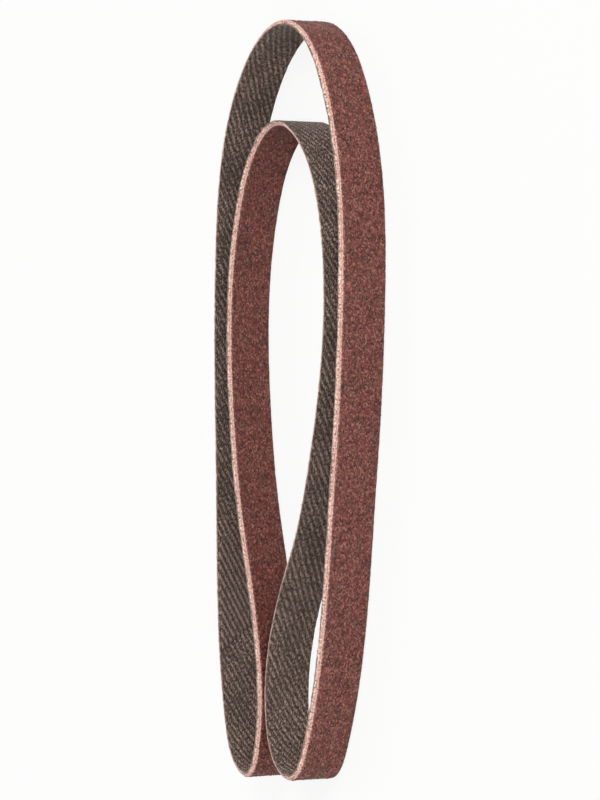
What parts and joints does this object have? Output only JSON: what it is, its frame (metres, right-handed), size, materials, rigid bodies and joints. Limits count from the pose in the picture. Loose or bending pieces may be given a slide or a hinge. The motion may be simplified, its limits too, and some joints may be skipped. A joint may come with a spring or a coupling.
{
  "type": "sanding belt",
  "caption": "Endless narrow abrasive belt of twill cloth with a mineral grain coat outside and a taped splice inside, folded into a horseshoe on its cut edge.",
  "frame": {"origin": "bottom centre of the folded belt's box; the belt lies on its lower cut edge at z = 0", "axes": "+Z across the belt's width, +Y along the horseshoe fold from its two feet to its crown, +X across the fold"},
  "size_m": [0.04, 0.1336, 0.0095],
  "materials": {
    "twill_cloth": "dyed and resin-stiffened cotton twill, matt, with raw pale fibres at the cut edges",
    "abrasive_grain": "medium mineral grain in red-brown resin, rough and slightly glittering",
    "splice_film": "thin satin film tape, faintly showing the cloth ribs"
  },
  "bodies": {
    "root": {"cloth_backing": "twill_cloth", "abrasive_coat": "abrasive_grain", "splice_tape": "splice_film"}
  },
  "joints": []
}
